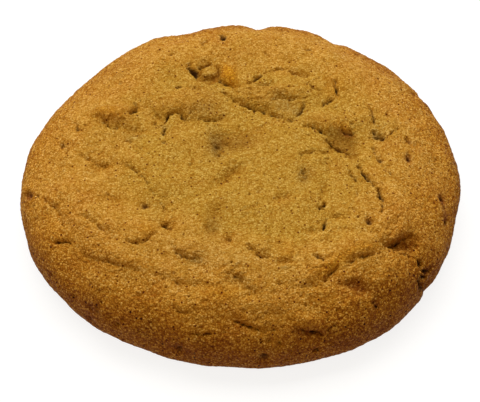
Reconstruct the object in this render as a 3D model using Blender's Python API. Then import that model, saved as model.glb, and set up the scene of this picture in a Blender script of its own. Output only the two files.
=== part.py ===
"""Thick soft-baked pumpkin cookie, one solid.

+Z is up and the origin is the middle of the flat base. Lengths below are in
millimetres, and MM turns them into metres when the mesh is written.

The skin is laid out on a flat map, as if it were peeled off and pressed flat: a map
point lies at its true bearing from the middle, at its true walking distance over the
top, round the shoulder and down the side. Lumps, hollows, creases and pits are placed
on that map, so one list covers the top and the side alike.
"""

import math
from collections import namedtuple

import bmesh
import bpy
import numpy as np
from mathutils import noise

MM = 0.001

# Overall form
RADIUS = 45.0
HEIGHT = 18.0
WIDEST_AT = 6.5
BASE_RADIUS = 41.6
TOP_POWER = 3.4
EDGE_POWER = 2.4
MIDDLE_SINK = 1.1
MIDDLE_RADIUS = 27.0
MIDDLE_SLOPE = 3.0
RING_RISE = 0.5
RING_RADIUS = 33.0
RING_WIDTH = 5.0

# The outline's departure from a circle: (waves round the rim, share of radius, bearing in degrees)
OUTLINE_WAVES = ((2, 0.0080, 128), (3, 0.0119, -132), (4, 0.0063, 103), (6, 0.0036, 78))

# Mesh
BALL_SUBDIVISIONS = 7
EDGE_ANGLE = 0.62 * math.pi
TRIANGLES_KEPT = 11600
FINEST = 0.7
PROFILE_STEPS = 300

# Swellings and hollows: half-length, half-width and bearing of the length, rise or fall.
# A power over 2 gives a flat top or floor and steep walls, over 4 square corners too.
Lump = namedtuple("Lump", "x y long wide turn rise power", defaults=(2,))
LUMPS = (
    # the brow across the upper left, in two swellings
    Lump(-27.6, 10.0, 3.9, 2.2, -8, 1.4, 3),
    Lump(-26.5, 7.7, 1.4, 1.5, 0, 0.6, 3),
    Lump(-10.2, 13.6, 7.4, 4.4, -4, 1.7),
    # the crust round the broken patch, the patch and the crumb that stands in it
    Lump(-8.0, 27.4, 3.6, 1.1, 8, 0.4),
    Lump(-10.6, 19.4, 3.0, 0.9, -25, 0.45),
    Lump(-7.2, 22.4, 2.5, 3.1, -16, -1.4, 7),
    Lump(-7.0, 23.7, 1.75, 1.7, 10, 1.3, 7),
    # the orange flap beside it
    Lump(-3.0, 21.8, 1.5, 3.0, 14, 0.8, 5),
    Lump(-2.6, 19.0, 2.4, 0.9, -26, -0.35),
    # the folds of the upper right
    Lump(4.5, 15.6, 6.0, 2.8, -14, 0.8, 3),
    Lump(11.4, 17.4, 4.0, 2.6, 0, 0.5),
    Lump(17.2, 7.9, 4.4, 2.6, 6, 1.0, 3),
    Lump(24.0, 9.5, 3.2, 4.0, 0, 0.5),
    # the ridge and the lobe of the lower right
    Lump(19.0, -26.8, 7.0, 1.8, 34, 0.55),
    Lump(30.4, -17.6, 5.6, 4.0, 24, 0.9),
    Lump(28.5, -29.6, 6.0, 4.2, 20, 0.7),
    Lump(24.2, -13.0, 2.4, 4.2, -10, 0.5),
    # swellings of the front and the left
    Lump(-18.4, -21.8, 3.0, 2.6, 10, 0.6),
    Lump(8.7, -26.6, 1.7, 2.8, 0, 0.65),
    Lump(-1.0, -38.0, 10.0, 2.4, 0, 0.6),
    Lump(-24.0, -28.0, 8.0, 2.2, -32, 0.5),
    Lump(-31.0, -19.5, 5.0, 2.4, -52, 0.4),
    Lump(-10.5, -26.6, 2.8, 2.4, -10, 0.5, 3),
    Lump(3.2, -26.0, 3.2, 2.4, -12, 0.45, 3),
    Lump(13.5, -41.6, 3.0, 1.2, -6, 0.5),
    Lump(-45.4, -5.2, 1.6, 1.6, 0, 0.6),
    Lump(-11.0, 2.4, 5.0, 4.4, 0, 0.6),
    # hollows of the middle
    Lump(-5.0, 2.2, 2.0, 3.4, 0, -0.9),
    Lump(-4.4, -2.0, 0.9, 1.2, 0, -0.6),
    Lump(-1.0, 2.2, 5.2, 2.8, 6, -0.8, 3),
    Lump(-2.0, -3.8, 1.7, 1.4, 0, 0.5),
    Lump(20.8, 2.5, 3.6, 3.0, -35, -1.5, 3),
    Lump(15.4, -1.6, 3.6, 1.0, 8, -0.5),
    Lump(22.6, -1.2, 1.2, 1.0, 0, -0.9),
    Lump(9.2, 12.4, 3.6, 2.2, -20, -0.7, 4),
    Lump(28.0, 4.2, 1.0, 1.4, 30, -0.6),
    Lump(12.5, -7.2, 1.2, 2.0, 0, -0.5),
    Lump(12.9, -2.8, 0.9, 1.6, 0, -0.4),
    Lump(17.7, -4.0, 0.8, 2.2, 0, -0.6),
    Lump(16.4, -11.2, 1.0, 2.6, -12, -0.5),
    Lump(18.6, -18.3, 2.2, 0.8, -8, -0.7),
    Lump(20.6, -21.8, 2.4, 1.0, 0, -0.5),
    Lump(13.6, -21.8, 1.4, 0.9, 0, -0.6),
    Lump(8.0, -13.2, 2.6, 1.0, 26, -0.65),
    Lump(-2.6, -7.6, 4.2, 1.3, 46, -1.0),
    Lump(-5.2, -16.8, 1.5, 3.4, -6, -0.8),
    Lump(-6.1, -21.6, 1.3, 1.6, 0, -0.8),
    Lump(-2.8, -24.0, 1.0, 1.6, -24, -0.6),
    Lump(8.0, -29.8, 1.8, 1.0, 0, -0.8),
    Lump(-1.3, -34.8, 2.6, 1.2, -14, -0.5),
    Lump(-3.4, -31.4, 1.4, 0.9, 0, -0.6),
    Lump(1.6, -37.2, 1.6, 1.0, -20, -0.8),
    Lump(-8.6, -35.2, 3.0, 0.9, -10, -0.5),
    Lump(-15.0, -20.4, 1.5, 1.2, -20, -0.9),
    Lump(-15.2, -15.4, 0.9, 1.4, 0, -0.5),
    Lump(-24.8, -13.4, 2.1, 1.8, 0, -0.9),
    Lump(-27.8, -4.4, 2.2, 1.5, 10, -0.8),
    Lump(-22.0, 6.0, 3.0, 0.9, -6, -0.8),
    Lump(-17.2, 9.6, 1.6, 1.5, 0, -0.8),
    Lump(-15.0, 18.4, 0.9, 1.8, 0, -0.5),
    Lump(4.5, 18.6, 1.5, 1.1, 0, -1.3),
    Lump(11.8, 22.3, 2.2, 1.0, -18, -0.8),
    Lump(37.0, 21.2, 0.7, 1.2, -20, -0.6),
    # the wedge between ridge and lobe, and the reddish dent on the lobe
    Lump(30.6, -23.6, 3.2, 0.9, 10, -1.1, 3),
    Lump(33.5, -22.8, 1.7, 2.3, 0, -1.1, 4),
    Lump(22.3, -33.8, 2.9, 1.5, -4, -0.9, 3),
    # nicks of the outline
    Lump(3.4, 44.0, 1.8, 4.0, 0, -0.9),
    Lump(19.9, 41.2, 1.6, 3.0, 25, -0.8),
    Lump(39.4, 23.2, 1.4, 2.4, 0, -0.6),
    Lump(-12.1, 42.6, 4.0, 4.0, 0, -0.5),
    Lump(43.0, -29.4, 3.0, 1.6, -34, -1.1),
)

# Cracks and folds. The dough on the left of the path stands up by lip, over reach.
Crease = namedtuple("Crease", "width depth lip reach path")
CREASES = (
    # the two halves of the brow's lower edge, and the crack that leads up between them
    Crease(0.3, 0.45, 0.3, 1.6, ((-32, 9.4), (-28.6, 7.5), (-26.4, 5.8), (-25.2, 8.6))),
    Crease(0.3, 0.6, 0.3, 1.2, ((-25.4, 9.2), (-23.2, 10.6), (-22.3, 13.2))),
    Crease(0.3, 0.8, 0.4, 1.4, ((-18.6, 8.4), (-16.2, 9), (-14.4, 10.6), (-12.6, 9.2), (-10.8, 7.8))),
    Crease(0.3, 0.4, 0.3, 1.6, ((-10.8, 7.9), (-6.2, 8), (-3.4, 9.8))),
    # cracks of the broken patch
    Crease(0.3, 1.2, 0.2, 0.8, ((-11.6, 25.9), (-10.1, 23.4), (-10.4, 22))),
    Crease(0.3, 0.9, 0.1, 0.8, ((-9.8, 23.6), (-7.5, 25.8), (-5.8, 25.8))),
    # the long crease of the upper right, the side of the sunk triangle, and the creases beyond
    Crease(0.3, 0.8, 0.8, 2.2, ((-3.9, 16.6), (-0.9, 13.6), (4.1, 11.1), (8.2, 9.3), (9.6, 7.9))),
    Crease(0.4, 0.6, 0.4, 1.3, ((9.9, 8.1), (12.3, 11.8), (12.7, 14.8))),
    Crease(0.3, 0.7, 0.4, 1.2, ((11.4, 7.2), (15.2, 5.8), (17.2, 4.4))),
    Crease(0.3, 1.0, 0.2, 0.9, ((17.2, 3.6), (19.2, 1.6), (22.4, 0.2))),
    # arcs behind it
    Crease(0.3, 0.8, 0.3, 1.1, ((-5.4, 21.4), (-3, 19), (0.4, 18.6))),
    Crease(0.3, 0.8, 0.3, 1.1, ((0.7, 18.9), (3, 21.2), (4, 22.3))),
    Crease(0.3, 0.8, 0.2, 1.1, ((9.4, 22.8), (13.2, 21.5), (14.6, 21.3))),
    Crease(0.5, 0.4, 0.4, 1.4, ((5.8, 13.4), (9.2, 14.4), (13, 14.1))),
    Crease(0.3, 0.7, 0.3, 1.0, ((18.9, 20.2), (19.6, 16.8), (20.6, 15.3))),
    Crease(0.3, 0.9, 0.2, 0.9, ((19.6, 15.5), (17, 13.7), (16.1, 12.4))),
    Crease(0.3, 0.7, 0.1, 0.8, ((26, 14), (26.9, 10.4), (27.4, 6.4))),
    # the arc of the right, the fold of the lower right and the split of the edge
    Crease(0.3, 0.9, 0.3, 1.0, ((24.2, -4.6), (26, -8.7), (26.9, -10.4))),
    Crease(0.3, 0.9, 0.2, 0.8, ((27.2, -10.8), (28, -12.8), (27.1, -17.8))),
    Crease(0.4, 0.4, 0.5, 1.4, ((15, -33.8), (17.2, -31.3), (18.8, -29.8))),
    Crease(0.3, 0.6, 0.5, 1.2, ((19.2, -29.3), (22.4, -27.8), (26.8, -26.3))),
    Crease(0.4, 0.7, 0.6, 1.6, ((26.4, -25.4), (30.2, -23.4), (34, -20.6))),
    Crease(0.3, 0.7, 0.0, 0.8, ((34.9, -25.6), (36.6, -27.6), (36.7, -29))),
    Crease(0.4, 1.5, 0.2, 1.0, ((35.9, -29.6), (39, -30.7), (43, -29.8))),
    # cracks of the left
    Crease(0.3, 0.6, 0.2, 0.8, ((-37.4, -21.1), (-35.6, -21.5), (-33.2, -22.9))),
    Crease(0.3, 0.3, 0.3, 1.4, ((-32.2, -24.2), (-26.2, -28.3), (-18.8, -31))),
    Crease(0.3, 0.4, 0.3, 1.4, ((-31, -17), (-27.2, -20.8), (-25.6, -23.4))),
    Crease(0.3, 0.4, 0.3, 1.2, ((-23.6, -24), (-18.6, -24.8), (-15.8, -21))),
    Crease(0.3, 0.4, 0.3, 1.4, ((-25.6, -3.4), (-19, -8), (-16.8, -13.4))),
    Crease(0.3, 0.4, 0.4, 1.6, ((-39.6, -10), (-35.5, -15.8), (-34.8, -18.4))),
    Crease(0.3, 0.3, 0.3, 1.4, ((-34, -0.6), (-29.8, -3.6), (-26.6, -4.2))),
    Crease(0.3, 0.7, 0.3, 1.0, ((-34.8, 9.4), (-34.5, 7.4), (-32, 5.6))),
    # slits of the middle and the front
    Crease(0.4, 0.4, 0.5, 1.6, ((-13.8, -25), (-11, -29), (-7.4, -29.8))),
    Crease(0.3, 1.0, 0.1, 0.8, ((16.5, -18.2), (15.9, -20.6), (15.9, -22.2))),
    Crease(0.3, 1.1, 0.2, 0.8, ((16.1, -14), (15.6, -15.2), (14.9, -16.2))),
    Crease(0.4, 0.6, 0.5, 1.6, ((1, -25.6), (3.4, -28.6), (5.4, -29))),
    Crease(0.3, 0.4, 0.4, 1.4, ((-4.2, -32.9), (0.4, -35.2), (2.6, -36.9))),
    Crease(0.3, 0.6, 0.3, 1.1, ((-1.8, -42.2), (4.6, -44), (7, -43.5))),
    Crease(0.4, 0.8, 0.3, 0.9, ((10.8, -43.3), (13.2, -43.6), (16.4, -44))),
    Crease(0.3, 0.5, 0.2, 1.0, ((-10.6, -44.5), (-8.2, -44.5), (-5.8, -44.8))),
    # cracks near the far edge
    Crease(0.3, 1.2, 0.2, 0.8, ((-5.9, 36), (-4.4, 35), (-3.8, 33))),
)

Pit = namedtuple("Pit", "x y radius depth")
PITS = (
    Pit(-19.0, -15.0, 0.9, 0.9), Pit(24.5, -19.4, 0.7, 0.9), Pit(34.3, -1.7, 0.7, 1.0),
    Pit(41.5, -9.7, 0.7, 0.8), Pit(43.2, -14.5, 0.8, 0.9), Pit(-44.2, -7.0, 0.8, 0.7),
    Pit(-39.9, -27.2, 0.6, 0.7), Pit(-31.3, -36.8, 0.7, 0.6), Pit(-33.7, -39.0, 1.1, 0.5),
    Pit(-26.1, -41.0, 0.8, 0.7), Pit(-13.7, -48.3, 1.0, 0.8), Pit(4.6, -49.7, 1.2, 0.8),
    Pit(26.7, -36.8, 0.6, 0.7), Pit(-3.9, 33.4, 0.8, 1.3), Pit(9.8, 8.1, 0.7, 0.4),
    Pit(-37.2, 3.2, 0.9, 0.5), Pit(-10.2, 23.2, 0.7, 1.3), Pit(-13.4, 18.3, 0.7, 1.1),
    Pit(13.9, 29.7, 0.7, 0.8), Pit(-14.8, 28.2, 0.7, 0.6), Pit(-26.1, 20.2, 0.7, 0.5),
    Pit(3.4, -11.6, 0.8, 0.5), Pit(28.4, 4.0, 0.8, 0.8), Pit(-5.2, 0.0, 0.9, 0.5),
)

# Unevenness of the whole skin: (wavelength, height)
UNEVENNESS = ((14.0, 0.60), (6.0, 0.40))
# How far creases and lumps stray from their places: (wavelength, reach)
WANDER = ((2.4, 0.35),)
FOOT_FADE = 6.0
# Dip of both sides along a crease, as a share of its lip
DIP = 0.45

CRUST_COLOUR = (0.46, 0.22, 0.034, 1.0)
CRUST_ROUGHNESS = 0.85


def profile():
    """Walking distance from the top's middle to the base's edge, with radius and height there."""
    quarter = np.linspace(0, math.pi / 2, PROFILE_STEPS)
    top_radius = RADIUS * np.sin(quarter) ** (2 / TOP_POWER)
    top_height = WIDEST_AT + (HEIGHT - WIDEST_AT) * np.cos(quarter)
    side = quarter[1:]
    bulge = RADIUS - BASE_RADIUS
    side_radius = BASE_RADIUS + bulge * np.cos(side).clip(0, 1) ** (2 / EDGE_POWER)
    side_height = WIDEST_AT - WIDEST_AT * np.sin(side) ** (2 / EDGE_POWER)
    radius = np.concatenate([top_radius, side_radius])
    height = np.concatenate([top_height, side_height])
    steps = np.hypot(np.diff(radius), np.diff(height))
    return np.concatenate([[0.0], np.cumsum(steps)]), radius, height


def noise_field(points, wavelength, offset):
    """Smooth noise, about -1 to 1, at each point."""
    scaled = points / wavelength + offset
    return np.array([noise.noise(p) for p in scaled])


def swelling(lump, x, y):
    """A rounded patch of height lump.rise."""
    turn = math.radians(lump.turn)
    along = (x - lump.x) * math.cos(turn) + (y - lump.y) * math.sin(turn)
    across = (y - lump.y) * math.cos(turn) - (x - lump.x) * math.sin(turn)
    corners = 4 if lump.power > 4 else 2
    reach = (np.abs(along / lump.long) ** corners + np.abs(across / lump.wide) ** corners) ** (1 / corners)
    return lump.rise * np.exp(-(reach**lump.power))


def smooth_path(path, pieces=5):
    """Points on a Catmull-Rom curve through the path."""
    knots = np.array([path[0], *path, path[-1]], float)
    t = np.linspace(0, 1, pieces, endpoint=False)[:, None]
    curve = []
    for a, b, c, d in zip(knots, knots[1:], knots[2:], knots[3:]):
        curve.append(0.5 * (2 * b + (c - a) * t + (2 * a - 5 * b + 4 * c - d) * t**2
                            + (3 * b - a - 3 * c + d) * t**3))
    return np.vstack([*curve, knots[-1:]])


def crease_relief(crease, x, y):
    """Groove along the path, with the dough on its left lifted, both fading towards the ends."""
    curve = smooth_path(crease.path)
    starts, spans = curve[:-1], np.diff(curve, axis=0)
    lengths = np.hypot(*spans.T)
    run = np.concatenate([[0.0], np.cumsum(lengths)])
    nearest = np.full(len(x), np.inf)
    side = np.zeros(len(x))
    place = np.zeros(len(x))
    for start, span, length, before in zip(starts, spans, lengths, run):
        dx, dy = x - start[0], y - start[1]
        t = ((dx * span[0] + dy * span[1]) / length**2).clip(0, 1)
        distance = np.hypot(dx - t * span[0], dy - t * span[1])
        closer = distance < nearest
        nearest[closer] = distance[closer]
        side[closer] = np.sign(span[0] * dy - span[1] * dx)[closer]
        place[closer] = (before + t * length)[closer]
    width = max(crease.width, FINEST)
    taper = np.sqrt(np.sin(math.pi * (place / run[-1]).clip(0.0, 1.0)).clip(0, 1))
    groove = crease.depth * math.sqrt(crease.width / width) * np.exp(-((nearest / width) ** 2))
    roll = nearest / crease.reach
    lifted = crease.lip * (roll * np.exp(1 - roll) * (side > 0) - DIP * np.exp(-roll))
    return taper * (lifted - groove)


def near(x, y, points, margin):
    """Which map points lie within margin of the box round these points."""
    low, high = np.min(points, axis=0) - margin, np.max(points, axis=0) + margin
    return (x > low[0]) & (x < high[0]) & (y > low[1]) & (y < high[1])


def strayed(x, y, points):
    """Map places moved by noise, so that creases and lumps laid on them come out ragged."""
    for number, (wavelength, reach) in enumerate(WANDER):
        x = x + reach * noise_field(points, wavelength, 71.0 + number)
        y = y + reach * noise_field(points, wavelength, 93.0 + number)
    return x, y


def relief(x, y, points):
    """Height of the skin above the plain form, at map places x, y and plain surface points."""
    walk = np.hypot(x, y)
    height = -MIDDLE_SINK * 0.5 * (1 + np.tanh((MIDDLE_RADIUS - walk) / MIDDLE_SLOPE))
    height += RING_RISE * np.exp(-(((walk - RING_RADIUS) / RING_WIDTH) ** 2))
    for number, (wavelength, rise) in enumerate(UNEVENNESS):
        height += rise * noise_field(points, wavelength, 17.0 * number)
    x, y = strayed(x, y, points)
    for lump in LUMPS:
        height += swelling(lump, x, y)
    for crease in CREASES:
        here = near(x, y, crease.path, 6 * crease.reach)
        height[here] += crease_relief(crease, x[here], y[here])
    for pit in PITS:
        reach = max(pit.radius, FINEST)
        height -= pit.depth * np.exp(-(((x - pit.x) ** 2 + (y - pit.y) ** 2) / reach**2))
    return height


def cookie_points(directions):
    """Where each direction from a ball's middle lands on the cookie's skin, in millimetres."""
    walk_table, radius_table, height_table = profile()
    edge_walk = walk_table[-1]
    down = np.arccos(directions[:, 2].clip(-1, 1))
    bearing = np.arctan2(directions[:, 1], directions[:, 0])
    outline = np.ones_like(bearing)
    for waves, share, phase in OUTLINE_WAVES:
        outline += share * np.cos(waves * bearing - math.radians(phase))

    walk = (down / EDGE_ANGLE).clip(0, 1) * edge_walk
    radius = np.interp(walk, walk_table, radius_table)
    height = np.interp(walk, walk_table, height_table)
    on_base = down > EDGE_ANGLE
    base_share = (math.pi - down) / (math.pi - EDGE_ANGLE)
    radius[on_base] = (BASE_RADIUS * base_share)[on_base]
    height[on_base] = 0.0

    ray = np.stack([np.cos(bearing), np.sin(bearing), np.zeros_like(bearing)], axis=1)
    points = ray * (radius * outline)[:, None]
    points[:, 2] = height
    lean_table = np.arctan2(-np.gradient(height_table, walk_table), np.gradient(radius_table, walk_table))
    lean = np.interp(walk, walk_table, lean_table)
    outward = ray * np.sin(lean)[:, None]
    outward[:, 2] = np.cos(lean)

    skin = ~on_base
    x, y = (walk * np.cos(bearing))[skin], (walk * np.sin(bearing))[skin]
    fade = ((edge_walk - walk[skin]) / FOOT_FADE).clip(0, 1)
    points[skin] += outward[skin] * (relief(x, y, points[skin]) * fade * (2 - fade))[:, None]
    points[:, 2] = points[:, 2].clip(0, None)
    return points


def crust_material():
    material = bpy.data.materials.new("baked_dough")
    material.use_nodes = True
    shader = material.node_tree.nodes["Principled BSDF"]
    shader.inputs["Base Color"].default_value = CRUST_COLOUR
    shader.inputs["Roughness"].default_value = CRUST_ROUGHNESS
    shader.inputs["Metallic"].default_value = 0.0
    return material


def build_cookie(collection):
    """A ball whose skin is slid onto the cookie's form, thinned where it is smooth."""
    bm = bmesh.new()
    bmesh.ops.create_icosphere(bm, subdivisions=BALL_SUBDIVISIONS, radius=1.0)
    directions = np.array([vertex.co.normalized() for vertex in bm.verts])
    for vertex, point in zip(bm.verts, cookie_points(directions)):
        vertex.co = point * MM
    faces = len(bm.faces)
    mesh = bpy.data.meshes.new("cookie")
    bm.to_mesh(mesh)
    bm.free()
    mesh.shade_smooth()
    mesh.materials.append(crust_material())
    cookie = bpy.data.objects.new("cookie", mesh)
    collection.objects.link(cookie)
    thin = cookie.modifiers.new("thin", "DECIMATE")
    thin.ratio = TRIANGLES_KEPT / faces
    return cookie


def main():
    for old in list(bpy.data.objects):
        bpy.data.objects.remove(old)
    collection = bpy.data.collections.new("pumpkin_cookie")
    bpy.context.scene.collection.children.link(collection)
    build_cookie(collection)


main()
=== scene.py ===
"""Looks of the thick soft-baked pumpkin cookie: its wrinkled crust, sandy grain and light.

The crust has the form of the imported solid, made again with finer cracks, pores and grain.
Lengths are in millimetres until a mesh or a camera is written, where MM turns them into metres.

The skin is laid out on a flat map, as if it were peeled off and pressed flat: a map
point lies at its true bearing from the middle, at its true walking distance over the
top, round the shoulder and down the side.
"""

import math
from collections import namedtuple

import bmesh
import bpy
import numpy as np
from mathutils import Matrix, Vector, noise


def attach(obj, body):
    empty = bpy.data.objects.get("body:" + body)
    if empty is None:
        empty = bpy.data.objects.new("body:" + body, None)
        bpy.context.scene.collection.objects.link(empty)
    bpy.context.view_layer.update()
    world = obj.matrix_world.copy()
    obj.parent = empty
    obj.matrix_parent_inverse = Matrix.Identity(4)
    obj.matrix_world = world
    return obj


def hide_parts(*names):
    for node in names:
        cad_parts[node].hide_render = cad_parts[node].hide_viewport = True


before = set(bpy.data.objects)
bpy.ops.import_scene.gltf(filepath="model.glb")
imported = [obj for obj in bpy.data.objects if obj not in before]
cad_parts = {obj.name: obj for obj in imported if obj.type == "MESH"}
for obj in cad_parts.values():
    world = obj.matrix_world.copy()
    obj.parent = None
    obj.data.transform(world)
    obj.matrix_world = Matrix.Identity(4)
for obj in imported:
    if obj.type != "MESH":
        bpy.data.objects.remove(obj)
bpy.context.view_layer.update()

MM = 0.001
SEED = 20

# Overall form, as in the solid
RADIUS = 45.0
HEIGHT = 18.0
WIDEST_AT = 6.5
BASE_RADIUS = 41.6
TOP_POWER = 3.4
EDGE_POWER = 2.4
MIDDLE_SINK = 1.1
MIDDLE_RADIUS = 27.0
MIDDLE_SLOPE = 3.0
RING_RISE = 0.5
RING_RADIUS = 33.0
RING_WIDTH = 5.0
PROFILE_STEPS = 300

# The outline's departure from a circle: (waves round the rim, share of radius, bearing in degrees)
OUTLINE_WAVES = ((2, 0.0080, 128), (3, 0.0119, -132), (4, 0.0063, 103), (6, 0.0036, 78))

# Mesh. The top and the side take the ball down to EDGE_ANGLE from its pole, the base the rest.
# FINEST is the narrowest crack that its triangles can hold.
BALL_SUBDIVISIONS = 9
EDGE_ANGLE = 0.80 * math.pi
TRIANGLES_KEPT = 196000
FINEST = 0.24

# Swellings and hollows: half-length, half-width and bearing of the length, rise or fall.
# A power over 2 gives a flat top or floor and steep walls, over 4 square corners too.
Lump = namedtuple("Lump", "x y long wide turn rise power", defaults=(2,))
LUMPS = (
    # the brow across the upper left, in two swellings
    Lump(-27.6, 10.0, 3.9, 2.2, -8, 1.4, 3),
    Lump(-26.5, 7.7, 1.4, 1.5, 0, 0.6, 3),
    Lump(-10.2, 13.6, 7.4, 4.4, -4, 1.7),
    # the crust round the broken patch, the patch and the crumb that stands in it
    Lump(-8.0, 27.4, 3.6, 1.1, 8, 0.4),
    Lump(-10.6, 19.4, 3.0, 0.9, -25, 0.45),
    Lump(-7.2, 22.4, 2.5, 3.1, -16, -1.4, 7),
    Lump(-7.0, 23.7, 1.75, 1.7, 10, 1.3, 7),
    # the orange flap beside it
    Lump(-3.0, 21.8, 1.5, 3.0, 14, 0.8, 5),
    Lump(-2.6, 19.0, 2.4, 0.9, -26, -0.35),
    # the folds of the upper right
    Lump(4.5, 15.6, 6.0, 2.8, -14, 0.8, 3),
    Lump(11.4, 17.4, 4.0, 2.6, 0, 0.5),
    Lump(17.2, 7.9, 4.4, 2.6, 6, 1.0, 3),
    Lump(24.0, 9.5, 3.2, 4.0, 0, 0.5),
    # the ridge and the lobe of the lower right
    Lump(19.0, -26.8, 7.0, 1.8, 34, 0.55),
    Lump(30.4, -17.6, 5.6, 4.0, 24, 0.9),
    Lump(28.5, -29.6, 6.0, 4.2, 20, 0.7),
    Lump(24.2, -13.0, 2.4, 4.2, -10, 0.5),
    # swellings of the front and the left
    Lump(-18.4, -21.8, 3.0, 2.6, 10, 0.6),
    Lump(8.7, -26.6, 1.7, 2.8, 0, 0.65),
    Lump(-1.0, -38.0, 10.0, 2.4, 0, 0.6),
    Lump(-24.0, -28.0, 8.0, 2.2, -32, 0.5),
    Lump(-31.0, -19.5, 5.0, 2.4, -52, 0.4),
    Lump(-10.5, -26.6, 2.8, 2.4, -10, 0.5, 3),
    Lump(3.2, -26.0, 3.2, 2.4, -12, 0.45, 3),
    Lump(13.5, -41.6, 3.0, 1.2, -6, 0.5),
    Lump(-45.4, -5.2, 1.6, 1.6, 0, 0.6),
    Lump(-11.0, 2.4, 5.0, 4.4, 0, 0.6),
    # hollows of the middle
    Lump(-5.0, 2.2, 2.0, 3.4, 0, -0.9),
    Lump(-4.4, -2.0, 0.9, 1.2, 0, -0.6),
    Lump(-1.0, 2.2, 5.2, 2.8, 6, -0.8, 3),
    Lump(-2.0, -3.8, 1.7, 1.4, 0, 0.5),
    Lump(20.8, 2.5, 3.6, 3.0, -35, -1.5, 3),
    Lump(15.4, -1.6, 3.6, 1.0, 8, -0.5),
    Lump(22.6, -1.2, 1.2, 1.0, 0, -0.9),
    Lump(9.2, 12.4, 3.6, 2.2, -20, -0.7, 4),
    Lump(28.0, 4.2, 1.0, 1.4, 30, -0.6),
    Lump(12.5, -7.2, 1.2, 2.0, 0, -0.5),
    Lump(12.9, -2.8, 0.9, 1.6, 0, -0.4),
    Lump(17.7, -4.0, 0.8, 2.2, 0, -0.6),
    Lump(16.4, -11.2, 1.0, 2.6, -12, -0.5),
    Lump(18.6, -18.3, 2.2, 0.8, -8, -0.7),
    Lump(20.6, -21.8, 2.4, 1.0, 0, -0.5),
    Lump(13.6, -21.8, 1.4, 0.9, 0, -0.6),
    Lump(8.0, -13.2, 2.6, 1.0, 26, -0.65),
    Lump(-2.6, -7.6, 4.2, 1.3, 46, -1.0),
    Lump(-5.2, -16.8, 1.5, 3.4, -6, -0.8),
    Lump(-6.1, -21.6, 1.3, 1.6, 0, -0.8),
    Lump(-2.8, -24.0, 1.0, 1.6, -24, -0.6),
    Lump(8.0, -29.8, 1.8, 1.0, 0, -0.8),
    Lump(-1.3, -34.8, 2.6, 1.2, -14, -0.5),
    Lump(-3.4, -31.4, 1.4, 0.9, 0, -0.6),
    Lump(1.6, -37.2, 1.6, 1.0, -20, -0.8),
    Lump(-8.6, -35.2, 3.0, 0.9, -10, -0.5),
    Lump(-15.0, -20.4, 1.5, 1.2, -20, -0.9),
    Lump(-15.2, -15.4, 0.9, 1.4, 0, -0.5),
    Lump(-24.8, -13.4, 2.1, 1.8, 0, -0.9),
    Lump(-27.8, -4.4, 2.2, 1.5, 10, -0.8),
    Lump(-22.0, 6.0, 3.0, 0.9, -6, -0.8),
    Lump(-17.2, 9.6, 1.6, 1.5, 0, -0.8),
    Lump(-15.0, 18.4, 0.9, 1.8, 0, -0.5),
    Lump(4.5, 18.6, 1.5, 1.1, 0, -1.3),
    Lump(11.8, 22.3, 2.2, 1.0, -18, -0.8),
    Lump(37.0, 21.2, 0.7, 1.2, -20, -0.6),
    # the wedge between ridge and lobe, and the reddish dent on the lobe
    Lump(30.6, -23.6, 3.2, 0.9, 10, -1.1, 3),
    Lump(33.5, -22.8, 1.7, 2.3, 0, -1.1, 4),
    Lump(22.3, -33.8, 2.9, 1.5, -4, -0.9, 3),
    # nicks of the outline
    Lump(3.4, 44.0, 1.8, 4.0, 0, -0.9),
    Lump(19.9, 41.2, 1.6, 3.0, 25, -0.8),
    Lump(39.4, 23.2, 1.4, 2.4, 0, -0.6),
    Lump(-12.1, 42.6, 4.0, 4.0, 0, -0.5),
    Lump(43.0, -29.4, 3.0, 1.6, -34, -1.1),
)

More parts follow.
